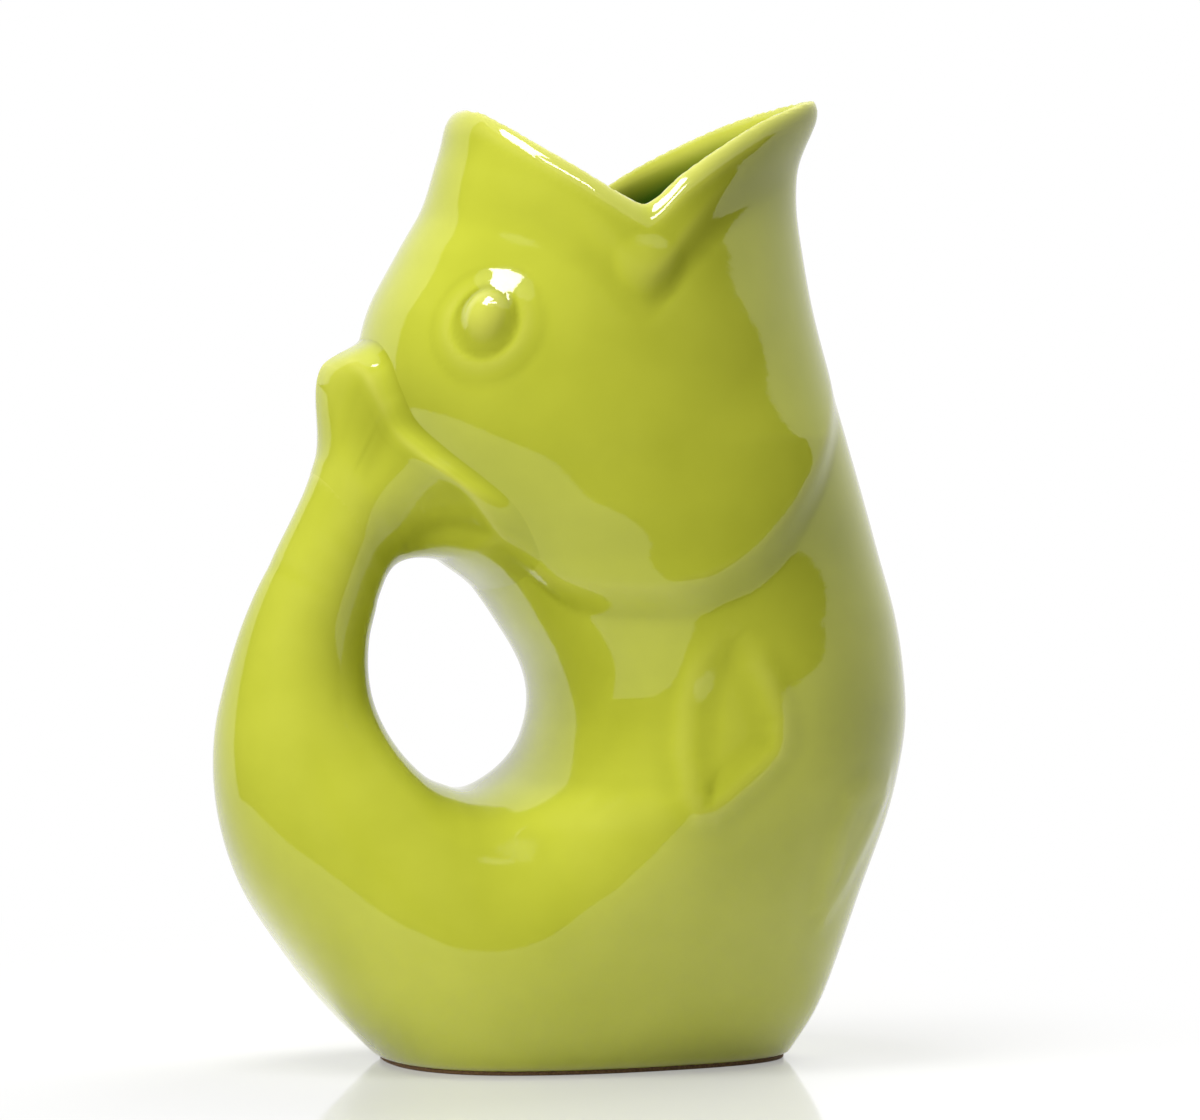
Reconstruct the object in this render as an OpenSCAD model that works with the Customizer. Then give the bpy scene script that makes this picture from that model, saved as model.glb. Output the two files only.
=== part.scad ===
// Fish-shaped gurgle jug: a hollow belly with an open mouth, and a hollow tail that curls up as the handle.
// The tail is open to the belly at its root and closed at its fin, so it traps the air that gurgles.
// +X is the side of the pouring lip, -X the handle, +Z up. The origin is under the middle, on the table.

/* [Body] */
// Height from the table to the tip of the lower lip
jug_h = 238.5; // [215:0.5:260]
// Reach of the belly in front of the middle
belly_reach = 86.5; // [78:0.5:96]
// Reach of the back of the body behind the middle
back_reach = 57.5; // [54:0.5:61]
// Half the width of the belly
belly_half = 57.5; // [52:0.5:66]
// Thickness of the fired wall
wall = 5; // [3.5:0.1:6.5]
// Thickness of the floor
floor_t = 6; // [4:0.1:9]

/* [Mouth and head] */
// Width of the roll round the rim
rim_roll = 2.2; // [1.2:0.1:2.4]
// How far the lips stand proud of the head
lip_proud = 1.3; // [0.6:0.1:2.5]
// Depth of the crease behind the lips
lip_crease = 0.9; // [0.3:0.1:1.5]
// How far the gill cover stands proud at its edge
gill_proud = 2.4; // [1:0.1:3.5]
// Height over which the gill cover sinks back into the head
gill_fade = 26; // [15:1:35]
// Height of the step at the edges of gill cover and lip
step_h = 1.2; // [0.6:0.1:2]
// Turn of the corners of the mouth round the head, from the pouring lip
corner_turn = 81; // [76:1:88]
// Height of the corners of the mouth
corner_z = 195; // [190:0.5:199]
// Radius of the soft knob at each corner
corner_r = 8; // [5:0.5:11]
// Height of the knob
corner_h = 2; // [0.5:0.1:3]

/* [Eyes] */
// Height of the eyes above the table
eye_z = 184; // [178:0.5:190]
// Turn of the eyes round the head, from the pouring lip
eye_turn = 129; // [120:1:136]
// Radius of the eyeball
eye_r = 7; // [5:0.1:9]
// How far the eyeball stands out of its mound
eye_proud = 4; // [2:0.1:6]
// Radius of the soft mound round the eye
mound_r = 15; // [12:0.5:17]
// Height of the mound
mound_h = 2.6; // [1:0.1:4]

/* [Tail] */
// How far the finger hole's centre lies in front of the back's furthest reach
loop_in = 29.5; // [27.5:0.5:30.5]
// Height of the finger hole's centre
loop_z = 96; // [92:0.5:99]
// Least radius of the finger hole
hole_r = 20.8; // [18:0.1:23]
// Thickness of the tail where it is thinnest
tail_t = 28.6; // [25:0.1:32]
// Half the width of the tail where it is thinnest
tail_half = 16.2; // [14:0.1:19]
// Turn round the finger hole at which the tail meets its fin
fin_turn = 122; // [118:1:130]

/* [Tail fin] */
// Height of the fin's middle above the table
fin_z = 150; // [146:0.5:153]
// Height of the fin
fin_h = 46; // [42:0.5:50]
// Half the width of the fin
fin_half = 35.3; // [31:0.1:39]
// How far the fin's lip stands off the head at the top
fin_lip = 11; // [8:0.1:13]
// How far the fin's lip rolls on beyond its crest
lip_roll = 4.5; // [3:0.1:6]

/* [Belly fins] */
// Clearance between the side fins and the gill cover's edge
pectoral_gap = 0.5; // [0:0.1:6]
// Turn of the side fins round the belly, from the pouring lip
pectoral_turn = 98; // [94:1:104]
// Reach of the side fins from their middle to their root
pectoral_reach = 29; // [25:0.5:31]
// Height of the side fins' rolled border
pectoral_proud = 2.6; // [1.5:0.1:4]
// Height of the front fins' middle
pelvic_z = 54; // [50:0.5:58]
// Turn of the front fins round the belly, from the pouring lip
pelvic_turn = 39; // [34:1:44]
// Reach of the front fins from their middle to their tip
pelvic_reach = 17; // [13:0.5:19]
// Height of the front fins' rolled border
pelvic_proud = 2; // [1:0.1:3]

/* [Foot] */
// Height of the unglazed foot ring
foot_h = 1.5; // [0.8:0.1:3]
// Width of the foot ring
foot_w = 7; // [5:0.5:9]
// Rounding between the foot and the belly
foot_round = 2.2; // [1.2:0.1:3]
// Height of the hollow under the floor
hollow_h = 2; // [1:0.1:3]

/* [Hidden] */

glaze = "#B9C23B";
clay = "#8A6A4A";

// Turns of the points round the body, the tail and a small piece
turns = [for (i = [0:47]) 360 / 48 * i];
tube_sides = [for (i = [0:29]) 360 / 30 * i];
petal_turns = [for (i = [0:19]) 360 / 20 * i];
// How far a piece that is cut to its seat runs on under it, and a cut runs past what it cuts
overrun = 4;
// Clearance of a small piece from the skin that it sits on
seat_gap = 0.05;

// Place of the finger hole's centre behind the middle
loop_back = back_reach - loop_in;

// Share of the head's height over which it sinks into the crease behind the lips
crease_share = 0.16;
// Shares of the inside's height at which it starts to follow the lips, and follows them fully
inside_lip_shares = [0.8, 0.95];
// Share of the width up to which the back of the body is drawn
side_most_share = 0.98;
// Where the rounding over the foot has its middle point
foot_bend_share = 0.3;
// Rows of the tail and of its bore, and the turns at which they end inside the body
tube_rows = 18;
bore_rows = 10;
root_turn = 300;
port_turn = 285;
// How far the tail's bore runs past its fin, as a turn
over_turn = 6;

// Outlines of the body as levels of its height, and reaches as shares of its three named reaches
front_level_shares = [0, 0.05, 0.175, 0.25, 0.3, 0.35, 0.4, 0.46, 0.584, 0.71, 0.835, 0.885,
    0.927, 0.969, 1.023];
front_shares = [0.688, 0.757, 0.876, 0.948, 0.979, 1, 0.994, 0.97, 0.873, 0.777, 0.712, 0.698,
    0.706, 0.738, 0.79];
back_level_shares = [0, 0.025, 0.05, 0.104, 0.175, 0.25, 0.275, 0.292, 0.31, 0.33, 0.352, 0.376, 0.4, 0.434,
    0.459, 0.526, 0.584, 0.647, 0.71, 0.772, 0.835, 0.885, 0.927, 0.969, 1.023];
back_shares = [0.817, 0.906, 0.97, 1, 0.87, 0.565, 0.435, 0.32, 0.22, 0.15, 0.112, 0.101, 0.118, 0.186,
    0.275, 0.485, 0.661, 0.8, 0.87, 0.831, 0.701, 0.582, 0.51, 0.47, 0.461];
side_level_shares = [0, 0.05, 0.104, 0.175, 0.25, 0.335, 0.4, 0.526, 0.584, 0.647, 0.71, 0.772, 0.835, 0.885,
    0.927, 0.969, 1.023];
side_shares = [0.661, 0.757, 0.835, 0.93, 0.983, 1, 0.991, 0.965, 0.974, 0.957, 0.904, 0.835, 0.739, 0.661,
    0.617, 0.6, 0.609];
// Where the body's widest line lies between its back and its front
middle_share = 0.47;
// Fullness of the sections: 2 is an ellipse, and less narrows the mouth to a spout in front
back_full = 2.1;
full_level_shares = [0, 0.647, 0.71, 0.772, 0.835, 0.885, 0.927, 0.969, 1.023];
front_fulls = [2.1, 2.1, 2, 1.9, 1.75, 1.65, 1.55, 1.45, 1.4];

// Heights of the edge of the gill cover, the crease of the lips and the rim, by turn from the pouring lip
gill_turns = [0, 28, 51, 70, 84, 101, 116, 134, 145, 160, 180];
gill_shares = [0.735, 0.664, 0.594, 0.539, 0.509, 0.487, 0.484, 0.493, 0.528, 0.56, 0.57];
gill_strength_turns = [0, 20, 45, 134, 147, 180];
gill_strength_shares = [0, 0.2, 0.9, 1, 0, 0];
lip_turns = [0, 16, 44, 72, 85, 99, 127, 154, 180];
lip_shares = [0.972, 0.958, 0.908, 0.852, 0.798, 0.842, 0.891, 0.923, 0.931];
rim_turns = [0, 12, 24, 36, 48, 60, 72, 84, 90, 96, 108, 120, 132, 144, 156, 168, 180];
rim_shares = [1, 0.993, 0.98, 0.966, 0.951, 0.934, 0.914, 0.888, 0.884, 0.891, 0.907, 0.924, 0.94, 0.956,
    0.973, 0.983, 0.984];

// The tail by turn round the finger hole: radius of its inner edge, thickness and half width
tube_turns = [116, 125, 140, 150, 165, 180, 195, 210, 225, 240, 255, 270, 285, 300];
hole_shares = [1.52, 1.38, 1.2, 1.11, 1.02, 0.98, 0.98, 1.01, 1.062, 1.144, 1.245, 1.303, 1.394, 1.635];
thick_shares = [1.2, 1.07, 1.003, 1.035, 1.126, 1.238, 1.413, 1.594, 1.784, 1.972, 2.276, 2.304,
    2.308, 2.168];
half_shares = [1.05, 1.018, 1, 1.018, 1.08, 1.204, 1.42, 1.698, 2.037, 2.377, 2.716, 2.9, 2.84, 2.47];

// Edge of the tail fin on the head, by turn round the tail: height, half width and stand-off of its lip
fin_edge_turns = [0, 20, 40, 55, 70, 85, 100, 115, 130, 145, 160, 180];
fin_height_shares = [0.467, 0.457, 0.402, 0.283, 0.152, 0.043, -0.065, -0.174, -0.304, -0.424,
    -0.511, -0.533];
fin_width_shares = [0, 0.297, 0.482, 0.552, 0.561, 0.737, 0.892, 0.992, 1, 0.949, 0.595, 0];
fin_lip_shares = [1, 0.82, 0.573, 0.455, 0.364, 0.318, 0.3, 0.273, 0.273, 0.273, 0.273, 0.273];
// Where the lip's roll runs beyond its crest, and how far it still stands off
lip_spread_shares = [1.1, 1, 0.5];
lip_stand_shares = [0, 0.25, 0.85];
// How far the flare runs on along the tail before it opens, by turn round the tail
flare_turns = [0, 40, 80, 180];
flare_bend_shares = [0.12, 0.3, 0.45, 0.45];
// Rings of the flare from the tail to the lip
flare_shares = [0.14, 0.28, 0.42, 0.56, 0.7, 0.82, 0.92, 1];
// The closed end of the air chamber: places along the tail and sizes of its rings
dome_place_shares = [0, 0.5, 0.85, 1];
dome_size_shares = [1, 0.88, 0.55, 0.15];
// Length of the closed end beyond the fin's root
dome_l = 9;

// Outlines of the belly fins by turn from straight up towards the tail, as shares of their reach
petal_edge_turns = [0, 30, 60, 90, 120, 150, 180, 210, 240, 270, 300, 330, 360];
pectoral_shares = [1, 0.72, 0.52, 0.45, 0.53, 0.82, 0.67, 0.56, 0.51, 0.52, 0.54, 0.7, 1];
pelvic_shares = [0.88, 0.7, 0.5, 0.4, 0.46, 0.72, 1, 0.8, 0.48, 0.42, 0.5, 0.7, 0.88];
round_shares = [for (a = petal_edge_turns) 1];
// Rings of a small piece from its middle outwards, and their heights as shares of its height
petal_ring_shares = [0.3, 0.6, 0.78, 0.9, 1];
petal_height_shares = [0.5, 0.6, 1, 0.85, 0.2];
dome_ring_shares = [0.35, 0.65, 0.85, 0.96, 1];
dome_height_shares = [0.94, 0.77, 0.53, 0.29, 0.08];
back_ring_shares = [1, 0.75, 0.5, 0.25];

// Rows of the skin between foot and gill cover, gill cover and lips, and lips and rim
belly_row_shares = [0.05, 0.12, 0.2, 0.28, 0.36, 0.44, 0.5, 0.56, 0.62, 0.68, 0.74, 0.8, 0.86, 0.93, 1];
head_row_shares = [0, 0.12, 0.24, 0.36, 0.48, 0.6, 0.72, 0.84, 0.93, 1];
lip_row_shares = [0, 0.35, 0.7, 1];
// The roll of the rim: places inwards and drops, as shares of the wall and of the roll
roll_in_shares = [0.06, 0.3, 0.72, 0.97];
roll_drop_shares = [0.45, 0.02, 0, 0.35];
inner_row_shares = [0.95, 0.86, 0.76, 0.65, 0.54, 0.43, 0.32, 0.22, 0.12, 0.04, 0];

// A smooth curve through a table of places and values
function step_slope(keys, vals, i) = (vals[i + 1] - vals[i]) / (keys[i + 1] - keys[i]);
function slope(keys, vals, i) =
    i == 0 ? step_slope(keys, vals, 0) :
    i == len(keys) - 1 ? step_slope(keys, vals, i - 1) :
    (step_slope(keys, vals, i - 1) * (keys[i + 1] - keys[i])
        + step_slope(keys, vals, i) * (keys[i] - keys[i - 1])) / (keys[i + 1] - keys[i - 1]);
function piece_at(keys, x, i = 0) = i >= len(keys) - 2 || x < keys[i + 1] ? i : piece_at(keys, x, i + 1);
function curve(keys, vals, x) =
    let (
        p = min(max(x, keys[0]), keys[len(keys) - 1]),
        i = piece_at(keys, p),
        gap = keys[i + 1] - keys[i],
        t = (p - keys[i]) / gap
    )
    (2 * pow(t, 3) - 3 * pow(t, 2) + 1) * vals[i]
        + (pow(t, 3) - 2 * pow(t, 2) + t) * gap * slope(keys, vals, i)
        + (3 * pow(t, 2) - 2 * pow(t, 3)) * vals[i + 1]
        + (pow(t, 3) - pow(t, 2)) * gap * slope(keys, vals, i + 1);
function ramp(t) = let (u = min(max(t, 0), 1)) u * u * (3 - 2 * u);
function mix(a, b, t) = a + (b - a) * t;
// A turn folded onto the left side, as the jug is the same on both
function folded(turn) = turn > 180 ? 360 - turn : turn;

// The body's section at a height: its front, back, half width and widest line
function front_x(z) = belly_reach * curve(front_level_shares, front_shares, z / jug_h);
function back_x(z) = -back_reach * curve(back_level_shares, back_shares, z / jug_h);
function half_y(z) = belly_half * curve(side_level_shares, side_shares, z / jug_h);
function middle_x(z) = mix(back_x(z), front_x(z), middle_share);
function front_full(z) = curve(full_level_shares, front_fulls, z / jug_h);
function section_r(turn, z) =
    let (
        ahead = cos(turn) > 0,
        reach = ahead ? front_x(z) - middle_x(z) : middle_x(z) - back_x(z),
        full = ahead ? front_full(z) : back_full
    )
    pow(pow(abs(cos(turn)) / reach, full) + pow(abs(sin(turn)) / half_y(z), full), -1 / full);
// A point on the body at a turn and height, standing proud of the plain section
function skin(turn, z, proud) =
    let (r = section_r(turn, z) + proud)
    [middle_x(z) + r * cos(turn), r * sin(turn), z];
// A point on the back of the body at a distance to the side
function back_skin(y, z, proud) =
    let (
        reach = middle_x(z) - back_x(z),
        side = min(abs(y) / half_y(z), side_most_share),
        x = -reach * pow(1 - pow(side, back_full), 1 / back_full),
        r = norm([x, y])
    )
    [middle_x(z) + x * (r + proud) / r, y * (r + proud) / r, z];

// The body's feature lines, and the soft mounds under the eyes and at the corners of the mouth
function gill_z(turn) = jug_h * curve(gill_turns, gill_shares, folded(turn));
function lip_z(turn) = jug_h * curve(lip_turns, lip_shares, folded(turn));
function rim_z(turn) = jug_h * curve(rim_turns, rim_shares, folded(turn));
pectoral_z = gill_z(pectoral_turn) - pectoral_gap - pectoral_reach;
function gill_step(turn) = gill_proud * curve(gill_strength_turns, gill_strength_shares, folded(turn));
eye_place = skin(eye_turn, eye_z, 0);
corner_place = skin(corner_turn, corner_z, 0);
function mound(turn, z) =
    let (place = skin(folded(turn), z, 0))
    mound_h * (1 - ramp(norm(place - eye_place) / mound_r))
        + corner_h * (1 - ramp(norm(place - corner_place) / corner_r));

function belly_ring(t) = [for (a = turns) skin(a, mix(foot_h + foot_round, gill_z(a), t), 0)];
function head_proud(turn, z, t) =
    gill_step(turn) * (1 - ramp((z - gill_z(turn)) / gill_fade)) + mound(turn, z)
        - lip_crease * ramp((t - 1 + crease_share) / crease_share);
function head_ring(t) = [for (a = turns)
    let (z = mix(gill_z(a) + step_h, lip_z(a), t)) skin(a, z, head_proud(a, z, t))];
function lip_ring(t) = [for (a = turns)
    let (z = mix(lip_z(a) + step_h, rim_z(a) - rim_roll, t)) skin(a, z, lip_proud + mound(a, z))];
function roll_ring(i) = [for (a = turns)
    let (z = rim_z(a) - rim_roll * roll_drop_shares[i]) skin(a, z, lip_proud - wall * roll_in_shares[i])];
floor_z = foot_h + hollow_h + floor_t;
function inner_ring(t) = [for (a = turns)
    let (z = mix(floor_z, rim_z(a) - rim_roll, t))
    skin(a, z, lip_proud * inside_lip(t) - wall)];
function inside_lip(t) = ramp((t - inside_lip_shares[0]) / (inside_lip_shares[1] - inside_lip_shares[0]));
function base_ring(inset, z) = [for (a = turns) skin(a, z, -inset)];

// A closed surface through rings of as many points, which run from one end to the other
function ring_faces(n, count) = [
    for (k = [0:count - 2], i = [0:n - 1])
    let (j = (i + 1) % n, a = k * n, b = a + n)
    each [[a + i, b + j, a + j], [a + i, b + i, b + j]]
];
function fan_faces(n, first, centre, up) = [
    for (i = [0:n - 1]) let (j = (i + 1) % n)
    up ? [first + j, first + i, centre] : [first + i, first + j, centre]
];
module loft(rings, start, end) {
    n = len(rings[0]);
    count = len(rings);
    polyhedron(
        points = concat([for (r = rings) each r], [start, end]),
        faces = concat(
            ring_faces(n, count),
            fan_faces(n, 0, n * count, false),
            fan_faces(n, n * (count - 1), n * count + 1, true)
        )
    );
}

outer_rings = concat(
    [base_ring(foot_round, foot_h)],
    [base_ring(foot_round * foot_bend_share, foot_h + foot_round * foot_bend_share)],
    [belly_ring(0)],
    [for (t = belly_row_shares) belly_ring(t)],
    [for (t = head_row_shares) head_ring(t)],
    [for (t = lip_row_shares) lip_ring(t)]
);

// The body as if it were solid, between two of its rings, which cuts the seats of what is joined to it
module body_solid(first, last) {
    loft(
        [for (k = [first:last]) outer_rings[k]],
        centre_of(outer_rings[first]),
        centre_of(outer_rings[last])
    );
}
function centre_of(ring) = (ring[0] + ring[floor(len(ring) / 2)]) / 2;
last_ring = len(outer_rings) - 1;
gill_ring = 2 + len(belly_row_shares);
seat_ring = 4;

module body() {
    color(glaze) difference() {
        loft(
            concat(
                [base_ring(foot_round + foot_w + hollow_h, foot_h + hollow_h)],
                [base_ring(foot_round + foot_w, foot_h)],
                outer_rings,
                [for (i = [0:len(roll_in_shares) - 1]) roll_ring(i)],
                [for (t = inner_row_shares) inner_ring(t)]
            ),
            [middle_x(foot_h), 0, foot_h + hollow_h],
            [middle_x(floor_z), 0, floor_z]
        );
        tail_bore();
    }
}

// A point on a section of the tail at a turn round the finger hole, with the section grown evenly
function tube_point(turn, side, grow) =
    let (
        inner = hole_r * curve(tube_turns, hole_shares, turn),
        thick = tail_t * curve(tube_turns, thick_shares, turn),
        half = tail_half * curve(tube_turns, half_shares, turn),
        r = inner + thick / 2 + (thick / 2 + grow) * cos(side)
    )
    [r * cos(turn) - loop_back, (half + grow) * sin(side), loop_z + r * sin(turn)];
function tube_ring(turn, grow) = [for (s = tube_sides) tube_point(turn, s, grow)];
function tube_centre(turn) = (tube_point(turn, 0, 0) + tube_point(turn, 180, 0)) / 2;

module tail_bore() {
    loft(
        [for (i = [0:bore_rows]) tube_ring(mix(fin_turn - over_turn, port_turn, i / bore_rows), -wall)],
        tube_centre(fin_turn - over_turn),
        tube_centre(port_turn)
    );
}

module tail_handle() {
    color(glaze) difference() {
        loft(
            [for (i = [0:tube_rows])
                tube_ring(mix(fin_turn, root_turn, i / tube_rows), 0)],
            tube_centre(fin_turn),
            tube_centre(root_turn)
        );
        tail_bore();
        body_solid(0, gill_ring);
    }
}

// The edge of the tail's fin round the back of the head: spread outwards, and standing off the skin
function fin_edge(side, spread, stand) =
    let (
        f = folded(side),
        away = side > 180 ? -1 : 1,
        y = away * fin_half * curve(fin_edge_turns, fin_width_shares, f) + spread * sin(side),
        z = fin_z + fin_h * curve(fin_edge_turns, fin_height_shares, f) + spread * cos(side)
    )
    back_skin(y, z, stand);
function fin_stand(side) = fin_lip * curve(fin_edge_turns, fin_lip_shares, folded(side));
// The flare runs on along the tail and then opens to the edge
function flare_point(side, t) =
    let (
        from = tube_point(fin_turn, side, 0),
        to = fin_edge(side, 0, fin_stand(side)),
        ahead = [sin(fin_turn), 0, -cos(fin_turn)],
        bend = from + ahead * curve(flare_turns, flare_bend_shares, folded(side)) * norm(to - from)
    )
    pow(1 - t, 2) * from + 2 * t * (1 - t) * bend + pow(t, 2) * to;
// A ring of the closed end of the air chamber, along the tail from the fin's root
function dome_ring(i) =
    let (middle = tube_centre(fin_turn), ahead = [sin(fin_turn), 0, -cos(fin_turn)])
    [for (s = tube_sides)
        middle + dome_size_shares[i] * (tube_point(fin_turn, s, -wall) - middle)
            + ahead * dome_l * dome_place_shares[i]];

module tail_fin() {
    dome_top = len(dome_size_shares) - 1;
    rows = len(flare_shares) - 1;
    color(glaze) difference() {
        loft(
            concat(
                [[for (s = tube_sides) fin_edge(s, lip_roll * lip_spread_shares[0], -overrun)]],
                [for (k = [1, 2]) [for (s = tube_sides)
                    fin_edge(s, lip_roll * lip_spread_shares[k], fin_stand(s) * lip_stand_shares[k])]],
                [for (k = [0:rows]) [for (s = tube_sides) flare_point(s, flare_shares[rows - k])]],
                [tube_ring(fin_turn, 0)]
            ),
            back_skin(0, fin_z, -2 * overrun),
            tube_centre(fin_turn)
        );
        loft(
            concat(
                [for (i = [0:dome_top]) dome_ring(dome_top - i)],
                [tube_ring(fin_turn + over_turn, -wall)]
            ),
            centre_of(dome_ring(dome_top)),
            tube_centre(fin_turn + over_turn)
        );
        body_solid(seat_ring, last_ring - 2);
    }
}

// A point near a small piece's middle, a distance away along the skin at a turn from straight up
function near_point(turn, z, away, r, proud) =
    let (
        middle = skin(turn, z, 0),
        along = skin(turn + 1, z, 0) - skin(turn - 1, z, 0),
        place = middle + r * sin(away) * along / norm(along),
        level = z + r * cos(away),
        there = atan2(place.y, place.x - middle_x(level))
    )
    skin(there, level, proud + mound(there, level));
// A small piece with its back on the skin: an outline by turn, and rings with their heights
module seated(turn, z, reach, outline, rings, heights, height) {
    function r_at(a) = reach * curve(petal_edge_turns, outline, a);
    loft(
        concat(
            [for (k = [0:len(rings) - 1]) [for (a = petal_turns)
                near_point(turn, z, a, r_at(a) * rings[k], height * heights[k])]],
            [for (share = back_ring_shares) [for (a = petal_turns)
                near_point(turn, z, a, r_at(a) * share, seat_gap)]]
        ),
        near_point(turn, z, 0, 0, height * heights[0]),
        near_point(turn, z, 0, 0, seat_gap)
    );
}

module left_eye() {
    color(glaze) seated(
        eye_turn, eye_z, eye_r, round_shares,
        dome_ring_shares, dome_height_shares, eye_proud
    );
}
module right_eye() {
    mirror([0, 1, 0]) left_eye();
}
module left_pectoral_fin() {
    color(glaze) seated(
        pectoral_turn, pectoral_z, pectoral_reach, pectoral_shares,
        petal_ring_shares, petal_height_shares, pectoral_proud
    );
}
module right_pectoral_fin() {
    mirror([0, 1, 0]) left_pectoral_fin();
}
module left_pelvic_fin() {
    color(glaze) seated(
        pelvic_turn, pelvic_z, pelvic_reach, pelvic_shares,
        petal_ring_shares, petal_height_shares, pelvic_proud
    );
}
module right_pelvic_fin() {
    mirror([0, 1, 0]) left_pelvic_fin();
}

// The unglazed ring under the body's edge
module foot_ring() {
    function outline(inset) = [for (p = base_ring(inset, foot_h)) [p.x, p.y]];
    color(clay) linear_extrude(foot_h) difference() {
        polygon(outline(foot_round));
        polygon(outline(foot_round + foot_w));
    }
}

body();
tail_handle();
tail_fin();
left_eye();
right_eye();
left_pectoral_fin();
right_pectoral_fin();
left_pelvic_fin();
right_pelvic_fin();
foot_ring();
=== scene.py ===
"""A glazed pottery jug in the shape of a fish, that gurgles when it pours.

The shell is slip-cast: a belly with an open mouth, and a hollow tail that curls up and ends in a fin at the back
of the head. Its pieces are joined wet and fired under one glaze, so the skin runs on over them without a seam. Soft
joins like these can't be made from patches on a grid, so the shell is made another way: a field gives the height
over the skin at each point in space, and a net is drawn where it is zero, cut along the borders of the pieces. The
tail's fin, the foot and the studio's screen are grids of two parameters. All lengths in the shape functions are
millimetres, in the jug's own frame: x towards the pouring lip, y to the fish's left, z up.
"""

import math

import bpy
import numpy as np
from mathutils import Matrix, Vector


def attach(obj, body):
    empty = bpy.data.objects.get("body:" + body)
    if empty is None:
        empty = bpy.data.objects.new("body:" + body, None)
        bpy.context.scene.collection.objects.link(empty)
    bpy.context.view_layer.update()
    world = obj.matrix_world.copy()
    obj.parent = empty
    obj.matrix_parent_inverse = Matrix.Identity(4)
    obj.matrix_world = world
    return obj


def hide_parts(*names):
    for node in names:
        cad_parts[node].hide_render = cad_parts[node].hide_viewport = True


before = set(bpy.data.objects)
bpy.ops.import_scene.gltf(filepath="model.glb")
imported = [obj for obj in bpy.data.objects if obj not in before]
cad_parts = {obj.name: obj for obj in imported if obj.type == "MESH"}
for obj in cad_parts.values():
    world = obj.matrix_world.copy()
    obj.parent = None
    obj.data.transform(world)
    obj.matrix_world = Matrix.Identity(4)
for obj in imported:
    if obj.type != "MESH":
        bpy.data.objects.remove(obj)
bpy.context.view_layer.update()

MM = 0.001


# Curves and blends

def curve(places, values):
    """A smooth curve through places and values: cubic pieces whose slopes at a place are the mean of both sides,
    weighted by the length of the other side. It is flat outside the table."""
    k = np.array(places, float)
    v = np.array(values, float)
    gap = np.diff(k)
    rise = np.diff(v) / gap
    slope = np.empty_like(v)
    slope[1:-1] = (rise[:-1] * gap[:-1] + rise[1:] * gap[1:]) / (k[2:] - k[:-2])
    slope[0], slope[-1] = rise[0], rise[-1]

    def at(x):
        x = np.clip(x, k[0], k[-1])
        i = np.clip(np.searchsorted(k, x, side="right") - 1, 0, len(k) - 2)
        t = (x - k[i]) / gap[i]
        return ((2 * t**3 - 3 * t**2 + 1) * v[i] + (t**3 - 2 * t**2 + t) * gap[i] * slope[i]
                + (3 * t**2 - 2 * t**3) * v[i + 1] + (t**3 - t**2) * gap[i] * slope[i + 1])
    return at


def ramp(t):
    """0 below 0, 1 above 1, and 3t^2 - 2t^3 between."""
    t = np.clip(t, 0, 1)
    return t * t * (3 - 2 * t)


def hill(t):
    """A bell: exp(-t^2)."""
    return np.exp(-t * t)


def join(a, b, soft):
    """The lower of two fields, with a fillet of that softness where they are about equal."""
    t = np.clip(0.5 + 0.5 * (b - a) / soft, 0, 1)
    return b * (1 - t) + a * t - soft * t * (1 - t)


def cut(a, b, soft):
    """The higher of two fields, with a rounding of that softness where they are about equal."""
    return -join(-a, -b, soft)


# The body: its reach in front and behind and half its width by height, and its edges by turn from the pouring lip

LEVELS = [-15, 0, 12, 25, 42, 60, 72, 84, 96, 110, 126, 140, 155, 170, 185, 200, 212, 222, 232, 245, 262]
front_x = curve(LEVELS, [53, 59.5, 65.5, 70.2, 75.8, 82, 84.7, 86.4, 86, 84.1, 79.8, 75.9, 71.6, 67.7, 64.3, 62.1,
                         60.8, 61.5, 64.5, 70, 76])
back_x = curve(LEVELS, [-44, -47, -53, -56, -50, -30, -13, -6.5, -7, -15, -27, -38, -46, -50, -47.8, -40.3, -33.5,
                        -29.3, -27, -26.5, -28])
half_y = curve(LEVELS, [34, 38, 43.5, 48, 53.5, 56.5, 57.5, 57.5, 57, 56, 55.5, 56, 55, 52, 48, 42.5, 38, 35.5,
                        34.5, 35, 37])
front_full = curve([155, 170, 185, 200, 212, 222, 232, 245], [2.1, 2, 1.9, 1.75, 1.65, 1.55, 1.45, 1.4])
rim_z = curve([-40, -30, -24, -20, -11.6, -2.6, 4.5, 9, 12.5, 16, 22.9, 35.2, 47.7, 58, 64, 72],
              [236, 235.8, 235, 232.3, 226.2, 220.3, 215.6, 212.9, 211.6, 213.4, 219, 226.4, 232.7, 236.5, 238.1,
               238.4])
gill_z = curve([0, 28, 51, 70, 84, 101, 116, 134, 145, 160, 180],
               [175.3, 158.4, 141.7, 128.6, 121.4, 116.1, 115.4, 117.6, 125.9, 133.6, 135.9])
gill_h = curve([0, 20, 45, 110, 134, 147, 180], [0, 0.7, 1.9, 2.0, 1.7, 0, 0])
lip_z = curve([0, 16, 44, 60, 71, 79, 85, 91, 99, 112, 127, 154, 180],
              [228, 225.5, 216.6, 209.5, 202, 194.6, 191.5, 193.4, 200, 207, 211.5, 216, 217])
lip_crease = curve([0, 50, 90, 120, 180], [0.1, 0.1, 0.26, 0.1, 0.02])
MIDDLE = 0.47  # where a section is widest, as a share of its length from the back
BACK_FULL = 2.1  # fullness of the sections behind, where 2 is an ellipse
WALL = 5.0
WALL_ROUND = 1.5  # rounding of the edges between the outer and the inner skin
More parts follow.
